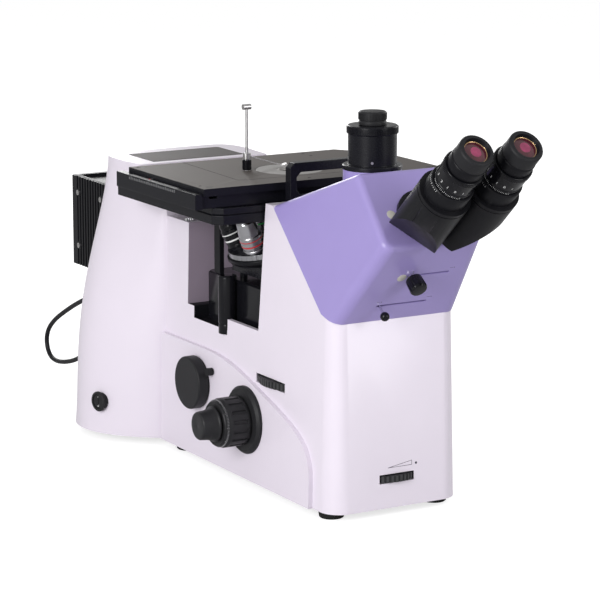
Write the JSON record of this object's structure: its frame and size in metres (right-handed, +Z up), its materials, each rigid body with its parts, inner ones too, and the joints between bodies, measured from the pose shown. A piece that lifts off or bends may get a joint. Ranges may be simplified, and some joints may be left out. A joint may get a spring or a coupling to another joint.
{
  "type": "inverted microscope",
  "caption": "Inverted laboratory microscope with binocular head, camera port, objective turret under a moving stage, focus knobs and a rear lamp house.",
  "frame": {"origin": "centre of the object's footprint box, on the bench, the lamp lead left out", "axes": "+Z up, -Y towards the user's seat, +X to the user's right; the optical axis of the working objective is vertical at x = 0"},
  "size_m": [0.302, 0.8758, 0.416],
  "materials": {
    "body_paint": "satin enamel",
    "head_paint": "satin enamel",
    "cover_paint": "satin",
    "black_paint": "satin",
    "black_anodised": "anodised satin",
    "stage_anodised": "anodised, fine grain",
    "chrome": "polished",
    "steel": "ground",
    "black_plastic": "matt",
    "rubber": "matt",
    "objective_metal": "satin",
    "glass": "coated",
    "mirror": "front silvered",
    "cable": "matt"
  },
  "bodies": {
    "frame": {"main_casting": "body_paint", "rear_column": "body_paint", "column_top_plate": "black_plastic", "base_plate": "black_paint", "rubber_feet": "rubber", "side_covers": "cover_paint", "rear_panel": "body_paint", "power_inlet": "black_plastic", "panel_screws": "steel", "power_supply": "steel", "switch_bezel": "black_plastic", "head_cover": "head_paint", "carry_handle": "black_anodised", "camera_tube": "black_anodised", "camera_collar": "black_anodised", "head_prism": "black_anodised", "binocular_pivot": "black_anodised", "stage_base": "black_paint", "focus_block": "black_paint", "focus_flanges": "black_plastic", "side_port": "black_anodised", "fold_mirrors": "mirror", "relay_lens": "black_anodised", "illuminator_tube": "black_anodised", "lamp_house": "black_paint", "lamp_screws": "steel", "lamp": "glass", "cable_glands": "rubber", "lamp_lead": "cable"},
    "camera_cap_body": {"camera_cap": "black_plastic"},
    "side_cap_body": {"side_port_cap": "black_plastic"},
    "clamp_body": {"clamp_screw": "black_plastic"},
    "rocker_body": {"power_rocker": "black_plastic"},
    "dimmer_body": {"dimmer_wheel": "black_plastic"},
    "aperture_body": {"aperture_wheel": "black_plastic"},
    "carrier": {"nosepiece_carrier": "black_anodised"},
    "coarse": {"coarse_shaft": "steel", "coarse_knobs": "black_plastic"},
    "fine": {"fine_shaft": "steel", "fine_knobs": "black_plastic"},
    "turret": {"nosepiece_turret": "black_anodised", "turret_ring": "chrome", "objectives": "objective_metal"},
    "x_slide": {"stage_carriage": "black_anodised"},
    "y_slide": {"stage_top": "stage_anodised", "stage_screws": "chrome", "clip_post": "steel"},
    "insert": {"stage_insert": "stage_anodised"},
    "clip": {"clip_arm": "steel"},
    "y_drive": {"stage_y_knob": "black_anodised"},
    "x_drive": {"stage_x_knob": "black_anodised"},
    "beam_selector": {"beam_lever": "black_anodised"},
    "ball_selector": {"ball_lever": "chrome"},
    "left_tube": {"left_prism_housing": "black_paint", "left_eyepiece": "black_plastic"},
    "right_tube": {"right_prism_housing": "black_paint", "right_eyepiece": "black_plastic"},
    "left_diopter": {"left_diopter_ring": "black_anodised"},
    "right_diopter": {"right_diopter_ring": "black_anodised"}
  },
  "joints": [
    {"name": "camera_cap_off", "type": "slide", "parent": "frame", "child": "camera_cap_body", "axis": [0, 0, 1], "range_m": [0, 0.02]},
    {"name": "side_cap_off", "type": "slide", "parent": "frame", "child": "side_cap_body", "axis": [-1, 0, 0], "range_m": [0, 0.015]},
    {"name": "clamp_turn", "type": "hinge", "parent": "frame", "child": "clamp_body", "pos_m": [0, 0.02318, 0.11], "axis": [1, 0, 0], "continuous": true},
    {"name": "rocker_tip", "type": "hinge", "parent": "frame", "child": "rocker_body", "pos_m": [-0.13007, 0.20182, 0.045], "axis": [-0.2164, 0.9763, 0], "range_deg": [-8, 8]},
    {"name": "dimmer_turn", "type": "hinge", "parent": "frame", "child": "dimmer_body", "pos_m": [0, -0.19412, 0.039], "axis": [0, 0, 1], "range_deg": [0, 300]},
    {"name": "aperture_turn", "type": "hinge", "parent": "frame", "child": "aperture_body", "pos_m": [-0.02394, -0.09433, 0.121], "axis": [0, 0, 1], "continuous": true},
    {"name": "focus_slide", "type": "slide", "parent": "frame", "child": "carrier", "axis": [0, 0, 1], "range_m": [-0.005, 0.004]},
    {"name": "coarse_turn", "type": "hinge", "parent": "frame", "child": "coarse", "pos_m": [0, -0.05183, 0.073], "axis": [1, 0, 0], "range_deg": [-39, 31.36]},
    {"name": "fine_turn", "type": "hinge", "parent": "frame", "child": "fine", "pos_m": [0, -0.05183, 0.073], "axis": [1, 0, 0], "continuous": true},
    {"name": "turret_turn", "type": "hinge", "parent": "carrier", "child": "turret", "pos_m": [-0.02862, -0.00183, 0.25486], "axis": [-0.2419, 0, 0.9703], "continuous": true},
    {"name": "stage_x", "type": "slide", "parent": "frame", "child": "x_slide", "axis": [1, 0, 0], "range_m": [-0.025, 0.025]},
    {"name": "stage_y", "type": "slide", "parent": "x_slide", "child": "y_slide", "axis": [0, 1, 0], "range_m": [-0.006, 0.046]},
    {"name": "insert_turn", "type": "hinge", "parent": "y_slide", "child": "insert", "pos_m": [0, -0.00183, 0.328], "axis": [0, 0, 1], "continuous": true},
    {"name": "clip_turn", "type": "hinge", "parent": "y_slide", "child": "clip", "pos_m": [-0.042, 0.01617, 0.328], "axis": [0, 0, 1], "range_deg": [-30, 100]},
    {"name": "y_drive_turn", "type": "hinge", "parent": "x_slide", "child": "y_drive", "pos_m": [0.134, 0.05817, 0.3197], "axis": [0, 0, 1], "range_deg": [-352.41, 46.84]},
    {"name": "x_drive_turn", "type": "hinge", "parent": "x_slide", "child": "x_drive", "pos_m": [0.134, 0.05817, 0.3197], "axis": [0, 0, 1], "range_deg": [-191.99, 191.99]},
    {"name": "beam_slide", "type": "slide", "parent": "frame", "child": "beam_selector", "axis": [1, 0, 0], "range_m": [0, 0.041]},
    {"name": "ball_slide", "type": "slide", "parent": "frame", "child": "ball_selector", "axis": [1, 0, 0], "range_m": [0, 0.052]},
    {"name": "eye_width", "type": "hinge", "parent": "frame", "child": "left_tube", "pos_m": [0, -0.27019, 0.31616], "axis": [0, -0.745, 0.6671], "range_deg": [-41.7, 1.14]},
    {"name": "eye_width_right", "type": "hinge", "parent": "frame", "child": "right_tube", "pos_m": [0, -0.27019, 0.31616], "axis": [0, -0.745, 0.6671], "range_deg": [-1.19, 41.75]},
    {"name": "left_diopter_turn", "type": "hinge", "parent": "left_tube", "child": "left_diopter", "pos_m": [-0.028, -0.28683, 0.29758], "axis": [0, -0.745, 0.6671], "range_deg": [-150, 150]},
    {"name": "right_diopter_turn", "type": "hinge", "parent": "right_tube", "child": "right_diopter", "pos_m": [0.028, -0.28683, 0.29758], "axis": [0, -0.745, 0.6671], "range_deg": [-150, 150]}
  ],
  "couplings": [
    {"joint": "coarse_turn", "follows": "focus_slide", "rad_per_m": 133.33},
    {"joint": "y_drive_turn", "follows": "stage_y", "rad_per_m": -133.33},
    {"joint": "x_drive_turn", "follows": "stage_x", "rad_per_m": 133.33},
    {"joint": "eye_width_right", "follows": "eye_width", "ratio": -1}
  ]
}
